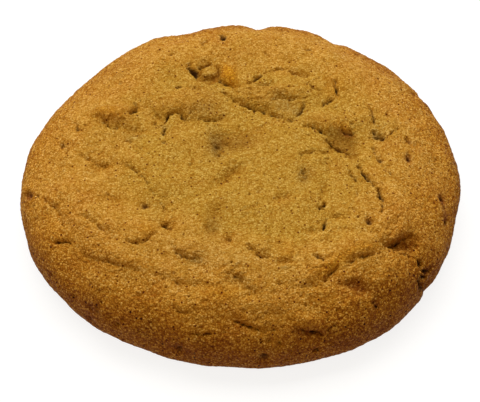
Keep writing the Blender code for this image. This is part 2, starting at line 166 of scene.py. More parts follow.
# Cracks and folds. The dough on the left of the path stands up by lip, over reach.
Crease = namedtuple("Crease", "width depth lip reach path")
CREASES = (
    # the two halves of the brow's lower edge, and the crack that leads up between them
    Crease(0.28, 0.45, 0.3, 1.6, ((-32, 9.4), (-30.4, 8.7), (-28.6, 7.5), (-27.4, 6.3), (-26.4, 5.8),
                                  (-25.6, 6.6), (-25.2, 8.6))),
    Crease(0.30, 0.6, 0.3, 1.2, ((-25.4, 9.2), (-24.2, 9.8), (-23.2, 10.6), (-22.5, 12), (-22.3, 13.2))),
    Crease(0.28, 0.8, 0.4, 1.4, ((-18.6, 8.4), (-17, 7.9), (-16.2, 9), (-15.6, 10.4), (-14.4, 10.6),
                                 (-13.2, 10.3), (-12.6, 9.2), (-12, 8.2), (-10.8, 7.8))),
    Crease(0.26, 0.4, 0.3, 1.6, ((-10.8, 7.9), (-8.6, 8.3), (-6.2, 8), (-4.2, 8.6), (-3.4, 9.8))),
    # cracks of the broken patch
    Crease(0.30, 1.2, 0.2, 0.8, ((-11.6, 25.9), (-11.1, 24.6), (-10.1, 23.4), (-10.4, 22))),
    Crease(0.28, 0.9, 0.1, 0.8, ((-9.8, 23.6), (-8.9, 24.9), (-7.5, 25.8), (-5.8, 25.8))),
    Crease(0.25, 0.5, 0, 0.8, ((-5.3, 24.8), (-5, 22.8), (-4.8, 21.2), (-4, 20))),
    # the long crease of the upper right, the side of the sunk triangle, and the crease beyond
    Crease(0.28, 0.8, 0.8, 2.2, ((-3.9, 16.6), (-2.8, 14.8), (-0.9, 13.6), (1.4, 12.2), (4.1, 11.1),
                                 (6.2, 10.1), (8.2, 9.3), (9.6, 7.9))),
    Crease(0.44, 0.55, 0.4, 1.3, ((9.9, 8.1), (11.1, 9.8), (12.3, 11.8), (13.1, 13.6), (12.7, 14.8))),
    Crease(0.28, 0.7, 0.4, 1.2, ((11.4, 7.2), (13.4, 6.4), (15.2, 5.8), (16.4, 4.9), (17.2, 4.4))),
    Crease(0.30, 1.0, 0.2, 0.9, ((17.2, 3.6), (18, 2.6), (19.2, 1.6), (20.2, 1), (22.4, 0.2))),
    Crease(0.26, 0.7, 0.3, 0.8, ((20.1, 6.8), (20.7, 5.9), (21.6, 5.5), (22.6, 5.2), (23.3, 5.9))),
    Crease(0.26, 0.4, 0.3, 1.2, ((18.8, -0.2), (16.6, -0.6), (14.6, -0.6), (12.2, -1.6))),
    # arcs behind it
    Crease(0.34, 0.8, 0.3, 1.1, ((-5.4, 21.4), (-4.3, 20), (-3, 19), (-1.2, 18.4), (0.4, 18.6))),
    Crease(0.28, 1.2, 0.3, 1.1, ((0.4, 18.7), (1.9, 19.8), (3, 21.2), (4, 22.3))),
    Crease(0.24, 0.55, 0.1, 0.8, ((4.4, 22.4), (6.2, 23.1), (8, 23.4), (9.2, 22.9))),
    Crease(0.26, 0.8, 0.2, 1.1, ((9.4, 22.8), (11.4, 22.2), (13.2, 21.5), (14.6, 21.3))),
    Crease(0.50, 0.35, 0.4, 1.4, ((5.8, 13.4), (7.4, 14), (9.2, 14.4), (11.4, 14.5), (13, 14.1))),
    Crease(0.28, 0.7, 0.3, 1.0, ((18.9, 20.2), (19.4, 18.6), (19.6, 16.8), (20.6, 15.3))),
    Crease(0.34, 0.9, 0.2, 0.9, ((19.6, 15.5), (18.2, 14.7), (17, 13.7), (16.1, 12.4))),
    Crease(0.26, 0.5, 0.1, 0.8, ((13.8, 19.2), (14.4, 18.2), (15.2, 17.5), (16.1, 16.7))),
    Crease(0.26, 0.7, 0.1, 0.8, ((26, 14), (26.5, 12.2), (26.9, 10.4), (27.2, 8.6), (27.4, 6.4))),
    Crease(0.26, 0.7, 0, 0.8, ((28.8, 3.5), (29.8, 4.4), (30.6, 5.4), (31.4, 6.2), (32.6, 6.6))),
    Crease(0.26, 0.4, 0.2, 1.0, ((33.2, 4.4), (34.4, 3.6), (35.2, 2.4), (35.3, 1.2))),
    Crease(0.28, 0.45, 0, 0.8, ((27.4, 1.8), (27.6, -1), (28.4, -3.6), (29.6, -5.6), (31, -7.8), (32, -9.6))),
    # the arc of the right, the fold of the lower right and the split of the edge
    Crease(0.32, 0.9, 0.3, 1.0, ((24.2, -4.6), (25, -7), (26, -8.7), (26.9, -10.4))),
    Crease(0.30, 0.9, 0.2, 0.8, ((27.2, -10.8), (28, -12.8), (27.9, -15.2), (27.1, -17.8))),
    Crease(0.28, 0.3, 0.3, 1.2, ((10.8, -34.9), (12.8, -34.5), (14.6, -34.3))),
    Crease(0.35, 0.4, 0.5, 1.4, ((15, -33.8), (16.2, -32.6), (17.2, -31.3), (18.8, -29.8))),
    Crease(0.34, 0.6, 0.5, 1.2, ((19.2, -29.3), (20.8, -28.8), (22.4, -27.8), (24.4, -27.2), (26.8, -26.3))),
    Crease(0.35, 0.7, 0.6, 1.6, ((26.4, -25.4), (28.4, -24.4), (30.2, -23.4), (31.8, -22), (34, -20.6))),
    Crease(0.30, 0.6, 0.2, 1.2, ((28.4, -25.2), (31, -25.2), (33.4, -25.3), (35, -25.7))),
    Crease(0.30, 0.7, 0, 0.8, ((34.9, -25.6), (35.8, -26.3), (36.6, -27.6), (36.7, -29))),
    Crease(0.30, 1.0, 0, 0.8, ((36.6, -27.5), (37.8, -27.2), (39.8, -26.4))),
    Crease(0.30, 1.0, 0, 0.8, ((36.6, -29), (37.6, -28.5), (38.6, -28.1))),
    Crease(0.40, 1.5, 0.2, 1.0, ((35.9, -29.6), (37.2, -30.2), (39, -30.7), (41, -30.6), (43, -29.8))),
    # cracks of the left
    Crease(0.28, 0.6, 0.2, 0.8, ((-37.4, -21.1), (-35.6, -21.5), (-34.2, -22.1), (-33.2, -22.9))),
    Crease(0.26, 0.25, 0.3, 1.4, ((-32.2, -24.2), (-30.6, -26), (-28.4, -27.4), (-26.2, -28.3),
                                  (-23.6, -29.6), (-21, -30.9), (-18.8, -31))),
    Crease(0.26, 0.45, 0.3, 1.4, ((-31, -17), (-29, -18.6), (-27.2, -20.8), (-25.6, -23.4))),
    Crease(0.30, 0.4, 0.3, 1.2, ((-23.6, -24), (-20.6, -25), (-18.6, -24.8), (-17, -22.8), (-15.8, -21))),
    Crease(0.28, 0.7, 0.3, 1.0, ((-34.8, 9.4), (-34.5, 7.4), (-33.9, 5.9), (-32, 5.6))),
    Crease(0.24, 0.3, 0, 0.8, ((-16.7, 6.6), (-16.2, 4.4), (-15.9, 1.4))),
    Crease(0.30, 0.4, 0.2, 0.9, ((-38, 3.8), (-37, 2.9), (-35.6, 1.7))),
    Crease(0.30, 0.5, 0.3, 1.0, ((-11.6, 18), (-10, 16.8), (-8.4, 15.8))),
    # short slits of the middle and the front
    Crease(0.30, 0.8, 0.2, 0.8, ((-15.9, -20.3), (-15, -20.6), (-13.9, -21.4))),
    Crease(0.40, 0.45, 0.5, 1.6, ((-13.8, -25), (-13, -27.4), (-11, -29), (-7.4, -29.8))),
    Crease(0.30, 0.8, 0.1, 0.8, ((16.5, -18.2), (16, -19.4), (15.9, -20.6), (15.9, -22.2))),
    Crease(0.34, 1.1, 0.2, 0.8, ((16.1, -14), (15.6, -15.2), (14.9, -16.2))),
    Crease(0.36, 0.6, 0.5, 1.6, ((1, -25.6), (1.8, -27.2), (3.4, -28.6), (5.4, -29))),
    Crease(0.28, 0.35, 0.4, 1.4, ((-4.2, -32.9), (-1.4, -33.5), (0.4, -35.2), (2.6, -36.9))),
    Crease(0.26, 0.4, 0.3, 1.4, ((-25.6, -3.4), (-22.8, -4.4), (-20.6, -5.9), (-19, -8), (-18, -10.6),
                                 (-16.8, -13.4))),
    Crease(0.26, 0.4, 0.3, 1.4, ((-16, -14), (-15.2, -16.2), (-15.6, -19))),
    Crease(0.26, 0.35, 0.4, 1.6, ((-39.6, -10), (-37.4, -12.8), (-35.5, -15.8), (-34.8, -18.4))),
    Crease(0.28, 0.5, 0.2, 1.0, ((21.6, -5.8), (22.4, -7.4), (23.4, -9.2))),
    Crease(0.26, 0.4, 0.2, 1.2, ((23.3, -11), (22.4, -13.8), (20.8, -16.8))),
    Crease(0.26, 0.3, 0.3, 1.4, ((-34, -0.6), (-31.4, -2), (-29.8, -3.6), (-26.6, -4.2))),
    Crease(0.26, 0.8, 0.1, 1.0, ((13.6, -28), (14.7, -28.7), (15.5, -29.6))),
    Crease(0.30, 0.6, 0.3, 1.1, ((-1.8, -42.2), (1.2, -43.3), (4.6, -44), (7, -43.5))),
    Crease(0.40, 0.8, 0.3, 0.9, ((10.8, -43.3), (13.2, -43.6), (16.4, -44))),
    Crease(0.26, 0.4, 0.2, 1.1, ((-18, -32.2), (-14.8, -32.7), (-12.8, -34.2), (-11.4, -35.8))),
    Crease(0.26, 0.4, 0.2, 1.0, ((-15, -38.3), (-13.6, -39.2), (-10.8, -40.5), (-8.2, -40.3))),
    Crease(0.26, 0.5, 0.2, 1.0, ((-10.6, -44.5), (-8.2, -44.5), (-5.8, -44.8))),
    # cracks near the far edge
    Crease(0.34, 1.2, 0.2, 0.8, ((-5.9, 36), (-4.4, 35), (-3.8, 33))),
    Crease(0.28, 0.6, 0.2, 1.0, ((-8.6, 31.4), (-7.6, 32.6), (-6.6, 34))),
    Crease(0.24, 0.4, 0, 0.8, ((4.4, 28.7), (5.8, 27.5))),
)

Pit = namedtuple("Pit", "x y radius depth")
PITS = (
    Pit(-10.2, 23.2, 0.7, 1.3), Pit(-13.4, 18.3, 0.7, 1.1), Pit(24.0, -4.5, 0.45, 0.8),
    Pit(22.3, 7.7, 0.35, 0.7), Pit(12.3, -1.9, 0.35, 0.35), Pit(13.9, 29.7, 0.7, 0.8),
    Pit(-14.8, 28.2, 0.7, 0.6), Pit(-18.0, 29.8, 0.6, 0.4), Pit(-8.4, 31.3, 0.4, 0.5),
    Pit(-26.1, 20.2, 0.7, 0.5), Pit(-24.7, 24.2, 0.35, 0.4), Pit(-28.0, 23.6, 0.6, 0.4),
    Pit(-28.4, 26.3, 0.4, 0.35), Pit(-22.9, 11.3, 0.5, 0.9), Pit(-22.7, 13.5, 0.35, 0.7),
    Pit(-16.3, 5.8, 0.5, 0.8), Pit(-16.4, 4.5, 0.5, 0.8), Pit(-15.9, 1.8, 0.35, 0.6),
    Pit(-22.9, 2.9, 0.5, 0.7), Pit(-20.7, 0.9, 0.4, 0.6), Pit(-5.3, 1.2, 0.5, 0.6),
    Pit(-5.2, -0.6, 0.5, 0.4), Pit(-4.4, -1.4, 0.45, 0.5), Pit(-3.2, 1.9, 0.4, 0.5),
    Pit(-19.0, -15.0, 0.9, 0.9), Pit(24.5, -19.4, 0.7, 0.9), Pit(34.3, -1.7, 0.7, 1.0),
    Pit(34.1, -0.5, 0.4, 0.5), Pit(34.3, 3.6, 0.5, 0.4), Pit(41.5, -9.7, 0.7, 0.8),
    Pit(42.2, -11.6, 0.4, 0.5), Pit(43.2, -14.5, 0.8, 0.9), Pit(-44.2, -7.0, 0.8, 0.7),
    Pit(-43.4, -7.9, 0.6, 0.6), Pit(-41.3, -8.9, 0.5, 0.7), Pit(-39.4, -10.8, 0.5, 0.4),
    Pit(-36.3, -21.6, 0.4, 0.3), Pit(-39.9, -27.2, 0.6, 0.7), Pit(-31.3, -36.8, 0.7, 0.6),
    Pit(-30.1, -37.7, 0.5, 0.6), Pit(-33.7, -39.0, 1.1, 0.5), Pit(-26.1, -41.0, 0.8, 0.7),
    Pit(-13.7, -48.3, 1.0, 0.8), Pit(-12.0, -46.3, 0.4, 0.4), Pit(18.2, -41.6, 0.4, 0.5),
    Pit(26.7, -36.8, 0.6, 0.7), Pit(25.7, -36.1, 0.4, 0.5), Pit(5.5, -46.0, 0.5, 0.6),
    Pit(7.5, -46.1, 0.5, 0.6), Pit(4.6, -49.7, 1.2, 0.8), Pit(9.8, 8.1, 0.7, 0.45),
    Pit(-15.0, -20.3, 0.7, 0.6), Pit(-37.2, 3.2, 0.9, 0.5), Pit(-2.6, -24.0, 0.7, 0.6),
    Pit(-3.9, 33.4, 0.8, 1.3), Pit(3.2, -33.8, 0.35, 0.4), Pit(6.4, -36.8, 0.4, 0.4),
    Pit(-1.2, -42.3, 0.6, 0.6), Pit(3.4, -11.6, 0.8, 0.5), Pit(27.4, 5.4, 0.4, 0.8),
    Pit(28.0, 4.3, 0.5, 0.7), Pit(28.9, 3.7, 0.5, 0.6), Pit(35.6, -26.1, 0.5, 0.9),
    Pit(12.4, -6.3, 0.5, 0.6), Pit(12.7, -7.6, 0.4, 0.5), Pit(-1.5, -33.6, 0.4, 0.2),
    Pit(15.6, -47.3, 0.5, 0.4),
)

# Coloured spots: as swellings, with the share of the colour in place of the rise
ORANGE_SPOTS = (
    Lump(-2.7, 21.6, 1.7, 3.6, 14, 1.0, 3), Lump(-18.3, -22.2, 2.0, 1.8, 10, 0.5),
    Lump(8.7, -27.2, 1.5, 2.4, 0, 0.4), Lump(-28.3, 9.4, 3.6, 1.8, -10, 0.6),
    Lump(17.5, -29.5, 5.0, 1.2, 40, 0.7), Lump(24.0, -25.4, 3.0, 1.0, 28, 0.5),
    Lump(-4.0, -37.0, 4.0, 1.6, 0, 0.5), Lump(19.5, 17.5, 2.5, 2.5, 0, 0.35),
    Lump(20.5, 6.4, 1.8, 0.7, -25, 0.8), Lump(2.0, 40.0, 10.0, 3.0, 0, 0.3),
)
# Darker greyish spots in hollows and dents, and a broad one on the front of the ring: painted shade, with
# some greyer dough
GREY_AND_SHADE_SPOTS = (
    Lump(-5.4, 1.4, 1.6, 3.4, 0, 0.95), Lump(-1.5, 1.8, 4.0, 2.4, 0, 0.4),
    Lump(-7.0, 22.2, 2.0, 1.0, 8, 0.3, 4), Lump(-6.8, 19.8, 1.6, 0.7, -20, 0.9),
    Lump(28.0, 4.4, 1.1, 1.5, 30, 1.0), Lump(12.5, -7.2, 1.4, 2.2, 0, 0.6),
    Lump(-1.3, -34.4, 2.2, 0.9, -8, 0.35), Lump(9.0, 12.4, 3.4, 2.2, -30, 0.5),
    Lump(-9.0, -29.9, 1.8, 0.8, 0, 0.7), Lump(-5.6, -20.6, 1.6, 2.8, -8, 0.5),
    Lump(-16.4, 7.0, 1.3, 0.8, 10, 0.6), Lump(36.2, -28.8, 0.6, 0.9, 0, 0.8),
    Lump(8.0, -31.1, 1.0, 0.5, 0, 0.7), Lump(-22.8, 4.0, 1.5, 1.5, 0, 0.35),
    Lump(-8.0, 10.2, 4.5, 1.8, 0, 0.3), Lump(4.5, 18.6, 1.2, 0.9, 0, 0.6),
    Lump(20.8, 2.8, 3.4, 2.6, -35, 0.45, 3), Lump(-7.0, -28.0, 14.0, 4.0, -12, 0.22),
)
# Reddish spots of the crust, and one broad spot low on the front of the side that is painted shade
RED_SPOTS_AND_SHADE = (
    Lump(22.2, -33.5, 2.8, 1.4, -6, 0.65), Lump(21.5, 5.3, 1.9, 0.6, -20, 0.85),
    Lump(31.6, -22.9, 3.8, 1.6, 14, 0.4, 3), Lump(34.3, -1.7, 0.8, 1.2, 0, 0.8),
    Lump(34.3, 3.4, 0.8, 0.8, 0, 0.6), Lump(42.0, -12.0, 1.0, 3.2, 12, 0.5),
    Lump(43.0, -14.2, 1.0, 1.3, 0, 0.8), Lump(41.5, -9.7, 0.9, 0.9, 0, 0.8),
    Lump(24.5, -19.2, 0.8, 0.8, 0, 0.6), Lump(-28.2, 8.2, 2.6, 1.4, -12, 0.25, 3),
    Lump(0.0, 41.0, 16.0, 3.0, 0, 0.4), Lump(29.0, 30.5, 10.0, 2.5, -45, 0.3),
    # the second spot here, low on the front of the side, is painted shade
    Lump(-28.0, 28.0, 10.0, 5.0, 45, 0.12), Lump(-2.0, -49.5, 14.0, 4.0, 0, 0.2),
    Lump(-44.0, -7.4, 1.4, 0.9, -45, 0.9), Lump(-40.2, -27.0, 1.1, 0.8, 0, 0.7),
    Lump(-19.0, -14.9, 0.9, 0.8, 0, 0.5), Lump(-33.7, -38.8, 2.4, 1.3, 0, 0.9),
    Lump(26.6, -36.4, 0.9, 0.9, 0, 0.8), Lump(13.5, -43.6, 3.0, 0.7, 0, 0.8),
    Lump(-30.8, -36.8, 1.8, 1.4, -30, 0.8), Lump(38.0, -27.6, 1.6, 1.2, 0, 0.35),
    Lump(31.0, -42.0, 4.0, 1.5, 40, 0.6), Lump(-45.0, -14.0, 1.0, 6.0, 0, 0.5),
    Lump(22.0, -45.0, 5.0, 1.5, 20, 0.5), Lump(40.0, 26.0, 1.5, 4.0, 30, 0.5),
    Lump(-13.0, -47.5, 2.5, 1.4, 0, 0.6),
)

# Each noise has a shift of its own, so that no two are alike.
# Unevenness of the whole skin: (wavelength, height, shift)
UNEVENNESS = ((14.0, 0.60, 0.0), (6.0, 0.40, 17.0))
# Rounded crumbs with narrow gaps between them: (wavelength, height, shift). The gaps lie where the
# noise is nearest to 0, the crumbs between them.
CRUMBLE = ((2.8, 0.08, 40.0), (1.4, 0.11, 49.0), (0.75, 0.11, 58.0))
GAP = 0.09
CRUMB_LIFT = 2.2
CRUMB_DROP = 0.5
# The gaps open in patches: wavelength, middle, swing and shift
GAPS_PATCHY = (4.0, 0.5, 1.2, 31.0)
# How much the crumbs stand up, over the walk: less on the plateau and on the side
CRUMBS_AT = (24.0, 34.0, 42.0, 47.0)
CRUMBS_STAND = (0.65, 1.0, 1.0, 0.55)
# Wrinkles that run round the rim: wavelengths across and along them, height, and where they lie
WRINKLE = (2.6, 11.0)
WRINKLE_RISE = 0.22
WRINKLE_SHIFT = 5.0
WRINKLE_PLACE = (36.0, 9.0)
# How far cracks and lumps stray from their places: (wavelength, reach, shifts for x and y)
WANDER = ((2.4, 0.35, 71.0, 93.0), (1.0, 0.32, 72.0, 94.0), (0.5, 0.14, 73.0, 95.0))
# Cracks open and close along their way over about these lengths: (wavelength, how much, shift)
PATCHY = ((2.6, 0.8, 55.0), (0.8, 1.0, 56.0))
PATCHY_LIMITS = (0.05, 1.8)
# How much of a crease's lip opens and closes with it
LIP_PATCHY = 0.6
# How far out a crease is worked out, in its own reaches, and a pit, in its own radii
CREASE_MARGIN = 6
PIT_MARGIN = 3
# All relief fades out over this walk above the base
FOOT_FADE = 6.0
# Dip of both sides along a crease, as a share of its lip
DIP = 0.45

# Holes and crumbs strewn along the creases: how many a millimetre, how far off, their size, and
# their share of the crease's depth
CRUMBS = 2.2
CRUMB_SPREAD = 0.5
CRUMB_RADIUS = (0.16, 0.34)
CRUMB_DEPTH = (-0.45, 0.6)

# Pores scattered by a seeded draw over this share of the map, from the middle out. The power
# makes small ones the most.
PORES = 900
PORE_SHARE = 0.97
PORE_POWER = 3
PORE_RADIUS = (0.18, 0.5)
PORE_DEPTH = (0.15, 0.5)

# Colours of the crust
PLATEAU = (0.52, 0.300, 0.042, 1.0)
RING = (0.59, 0.306, 0.048, 1.0)
SHOULDER = (0.57, 0.265, 0.025, 1.0)
SIDE = (0.47, 0.212, 0.019, 1.0)
TOASTED = (0.45, 0.175, 0.015, 1.0)
OLIVE = (0.37, 0.205, 0.034, 1.0)
ORANGE = (0.56, 0.250, 0.006, 1.0)
# greyer dough and painted shade of hollows and dents
GREY_AND_SHADE = (0.33, 0.200, 0.048, 1.0)
# reddish crust, also painted shade low on the front of the side
RED_AND_SHADE = (0.25, 0.068, 0.008, 1.0)
# painted shade of cracks and pits
CRACK_SHADE = (0.060, 0.019, 0.002, 1.0)
SUGAR = (0.66, 0.40, 0.10, 1.0)
# Powers by which red, green and blue fall as dough darkens
BROWNING = (1.0, 1.6, 4.0)

# Walks from and to which one colour goes over into the next, and the last darkening of the side
TO_RING = (20.0, 34.0)
TO_SHOULDER = (36.0, 46.0)
TO_SIDE = (43.0, 53.0)
TO_FOOT = (45.0, 51.0)
FOOT_SHARE = 0.88
# How far broad and small noise move these walks
BROAD_SWAY = 5.0
SMALL_SWAY = 2.0
# Toasted and olive patches: from and to these values of the noise, and their share of the colour
TOASTED_PATCHES = (0.50, 0.75, 0.0, 0.6)
TOASTED_IN_MIDDLE = 0.4
OLIVE_PATCHES = (0.46, 0.30, 0.0, 0.25)
# Folds: lips are toasted, and hollows are darkened as painted shade, from and to these heights
TOASTED_LIPS = (0.1, 1.4, 0.0, 0.3)
HOLLOW_SHADE = (-0.1, -1.3, 0.0, 0.30)

# Noises of the crust: size, detail, roughness and shift
BROAD = (14.0, 3.0, 0.5, 0.0)
PATCHES = (5.0, 3.0, 0.5, 3.0)
MOTTLE = (1.6, 3.0, 0.6, 7.0)
CLUMPS = (1.0, 2.0, 0.6, 5.0)
FINE = (0.26, 2.0, 0.7, 11.0)
NOISE_SPAN = (0.3, 0.7)
# Grains: their size, and how far mottle, clumps, fine noise and each grain's own lot change the tone
GRAIN_SIZE = 0.36
MOTTLE_SWING = 0.06
CLUMP_SWING = 0.06
FINE_SWING = 0.21
LOT_SWING = 0.19
# The swings are a little larger towards dark than towards light
TO_DARK = -1.1
TO_LIGHT = 0.9
# Painted shade in the gaps between the grains, and single dark dots: their cells, radius, how many of them,
# how dark
GRAIN_GAP_SHADE = (0.40, 0.80, 0.0, 0.28)
DOT_CELLS = 1.25
DOT_EDGE = (0.20, 0.12)
DOT_CHOICE = (0.45, 0.55)
DOT_DARK = 1.1
# Where the crust is browner its grain is stronger, by the walk, and stronger again on the side
BAKED = (34.0, 48.0)
BAKED_GRAIN = 1.7
SIDE_GRAIN = (44.0, 50.0, 1.0, 1.3)
# Sugar grains: the last of the lots, and their share of the colour
SUGAR_GRAINS = (0.95, 1.0, 0.0, 0.25)
# Cracks and pits: painted shade, ragged by fine noise, dark from and to these depths
RAGGED = 0.12
CRACK_SHADE_DEPTHS = (0.32, 0.95, 0.0, 0.93)
# Fine bumps: shares of fine noise and of the gaps, and their height. Shine: roughness over the lots.
FINE_BUMP = 0.8
GAP_BUMP = 0.6
BUMP_HEIGHT = 0.26
ROUGHNESS = (0.88, 0.60)
SPECULAR = 0.1

# Camera and light
VIEW_ELEVATION = 46.5
VIEW_DISTANCE = 400.0
LOOK_AT = (0.0, 0.0, 8.0)
LENS = 146.4
AIM_DOWN = 0.649
AIM_LEFT = 0.097
SENSOR = 36.0
CLIP = 0.01
KEY_LIGHT = dict(bearing=100, elevation=57, distance=0.9, size=(1.2, 0.8), watts=10.95)
FILL_LIGHT = dict(bearing=205, elevation=25, distance=0.9, size=(0.6, 0.6), watts=0.7,
                  colour=(1.0, 0.85, 0.55))
# Glow of the world: from the front to the back, and from below
GLOW_TO_BACK = (-0.6, 0.8)
GLOW_FROM_BELOW = (-0.15, 0.25)
BACK_GLOW = (0.30, 0.30, 0.30, 1.0)
FRONT_GLOW = (0.36, 0.27, 0.12, 1.0)
LOW_GLOW = (0.41, 0.28, 0.07, 1.0)

# Floor
FLOOR_SIZE = 6.0
FLOOR_COLOUR = (0.22, 0.22, 0.22, 1.0)
FLOOR_LIGHT = 0.84
FLOOR_ROUGHNESS = 0.9


def profile():
    """Walking distance from the top's middle to the base's edge, with radius and height there."""
    quarter = np.linspace(0, math.pi / 2, PROFILE_STEPS)
    top_radius = RADIUS * np.sin(quarter) ** (2 / TOP_POWER)
    top_height = WIDEST_AT + (HEIGHT - WIDEST_AT) * np.cos(quarter)
    side = quarter[1:]
    bulge = RADIUS - BASE_RADIUS
    side_radius = BASE_RADIUS + bulge * np.cos(side).clip(0, 1) ** (2 / EDGE_POWER)
    side_height = WIDEST_AT - WIDEST_AT * np.sin(side) ** (2 / EDGE_POWER)
    radius = np.concatenate([top_radius, side_radius])
    height = np.concatenate([top_height, side_height])
    steps = np.hypot(np.diff(radius), np.diff(height))
    return np.concatenate([[0.0], np.cumsum(steps)]), radius, height


def noise_field(points, wavelength, shift):
    """Smooth noise, about -1 to 1, at each point."""
    scaled = (points / wavelength + shift).tolist()
    return np.array([noise.noise(p) for p in scaled])


def swelling(lump, x, y):
    """A rounded patch of height lump.rise."""
    turn = math.radians(lump.turn)
    along = (x - lump.x) * math.cos(turn) + (y - lump.y) * math.sin(turn)
    across = (y - lump.y) * math.cos(turn) - (x - lump.x) * math.sin(turn)
    corners = 4 if lump.power > 4 else 2
    reach = (np.abs(along / lump.long) ** corners + np.abs(across / lump.wide) ** corners) ** (1 / corners)
    return lump.rise * np.exp(-(reach**lump.power))


def smooth_path(path, pieces=5):
    """Points on a Catmull-Rom curve through the path."""
    knots = np.array([path[0], *path, path[-1]], float)
    t = np.linspace(0, 1, pieces, endpoint=False)[:, None]
    curve = []
    for a, b, c, d in zip(knots, knots[1:], knots[2:], knots[3:]):
        curve.append(0.5 * (2 * b + (c - a) * t + (2 * a - 5 * b + 4 * c - d) * t**2
                            + (3 * b - a - 3 * c + d) * t**3))
    return np.vstack([*curve, knots[-1:]])


def crease_relief(crease, x, y):
    """Groove along the path and the lift of the dough on its left, both fading towards the ends."""
    curve = smooth_path(crease.path)
    starts, spans = curve[:-1], np.diff(curve, axis=0)
    lengths = np.hypot(*spans.T)
    run = np.concatenate([[0.0], np.cumsum(lengths)])
    nearest = np.full(len(x), np.inf)
    side = np.zeros(len(x))
    place = np.zeros(len(x))
    for start, span, length, before in zip(starts, spans, lengths, run):
        dx, dy = x - start[0], y - start[1]
        t = ((dx * span[0] + dy * span[1]) / length**2).clip(0, 1)
        distance = np.hypot(dx - t * span[0], dy - t * span[1])
        closer = distance < nearest
        nearest[closer] = distance[closer]
        side[closer] = np.sign(span[0] * dy - span[1] * dx)[closer]
        place[closer] = (before + t * length)[closer]
    width = max(crease.width, FINEST)
    taper = np.sqrt(np.sin(math.pi * (place / run[-1]).clip(0.0, 1.0)).clip(0, 1))
    groove = crease.depth * np.exp(-nearest / width)
    roll = nearest / crease.reach
    lifted = crease.lip * (roll * np.exp(1 - roll) * (side > 0) - DIP * np.exp(-roll))
    return taper * lifted, taper * groove


def near(x, y, points, margin):
    """Which map points lie within margin of the box round these points."""
    low, high = np.min(points, axis=0) - margin, np.max(points, axis=0) + margin
    return (x > low[0]) & (x < high[0]) & (y > low[1]) & (y < high[1])


def draw_pores():
    """Small pits at seeded random places of the map."""
    rng = np.random.default_rng(SEED)
    edge = profile()[0][-1]
    pores = []
    for _ in range(PORES):
        walk = edge * math.sqrt(rng.uniform(0, PORE_SHARE))
        bearing = rng.uniform(0, 2 * math.pi)
        size = rng.uniform() ** PORE_POWER
        pores.append(Pit(walk * math.cos(bearing), walk * math.sin(bearing),
                         PORE_RADIUS[0] + size * (PORE_RADIUS[1] - PORE_RADIUS[0]),
                         rng.uniform(*PORE_DEPTH)))
    return pores


def draw_crumbs():
    """Holes and, with a negative depth, crumbs at seeded random places along the creases."""
    rng = np.random.default_rng(SEED + 1)
    crumbs = []
    for crease in CREASES:
        curve = smooth_path(crease.path)
        length = np.hypot(*np.diff(curve, axis=0).T).sum()
        for along in rng.uniform(0, len(curve) - 1, int(CRUMBS * length)):
            first = int(along)
            on_path = curve[first] + (along - first) * (curve[first + 1] - curve[first])
            x, y = on_path + rng.normal(0, CRUMB_SPREAD, 2)
            crumbs.append(Pit(x, y, rng.uniform(*CRUMB_RADIUS), crease.depth * rng.uniform(*CRUMB_DEPTH)))
    return crumbs


def pit_depths(x, y, pits):
    """How deep each map point lies in the pits. Points are sorted by x, so each pit looks at few."""
    order = np.argsort(x)
    sorted_x = x[order]
    depth = np.zeros(len(x))
    for pit in pits:
        margin = PIT_MARGIN * pit.radius
        first, last = np.searchsorted(sorted_x, (pit.x - margin, pit.x + margin))
        some = order[first:last]
        away = (x[some] - pit.x) ** 2 + (y[some] - pit.y) ** 2
        depth[some] += pit.depth * np.exp(-away / pit.radius**2)
    return depth


def strayed(x, y, points):
    """Map places moved by noise, so that cracks and lumps laid on them come out ragged."""
    for wavelength, reach, x_shift, y_shift in WANDER:
        x = x + reach * noise_field(points, wavelength, x_shift)
        y = y + reach * noise_field(points, wavelength, y_shift)
    return x, y


def crumble(points):
    """Rounded crumbs of several sizes, and how deep each point lies in the gaps between them."""
    height = np.zeros(len(points))
    gaps = np.zeros(len(points))
    size, middle, swing, shift = GAPS_PATCHY
    patchy = (middle + swing * noise_field(points, size, shift)).clip(0, 1)
    for wavelength, rise, shift in CRUMBLE:
        wave = np.abs(noise_field(points, wavelength, shift))
        height += rise * (CRUMB_LIFT * wave - CRUMB_DROP)
        gaps += rise * patchy * np.exp(-((wave / GAP) ** 2))
    return height, gaps


def wrinkles(x, y):
    """Long shallow wrinkles round the rim."""
    walk, bearing = np.hypot(x, y), np.arctan2(y, x)
    across, along = WRINKLE
    places = np.stack([walk / across, np.cos(bearing) * RING_RADIUS / along,
                       np.sin(bearing) * RING_RADIUS / along], axis=1)
    middle, spread = WRINKLE_PLACE
    fade = np.exp(-(((walk - middle) / spread) ** 2))
    return WRINKLE_RISE * noise_field(places, 1.0, WRINKLE_SHIFT) * fade


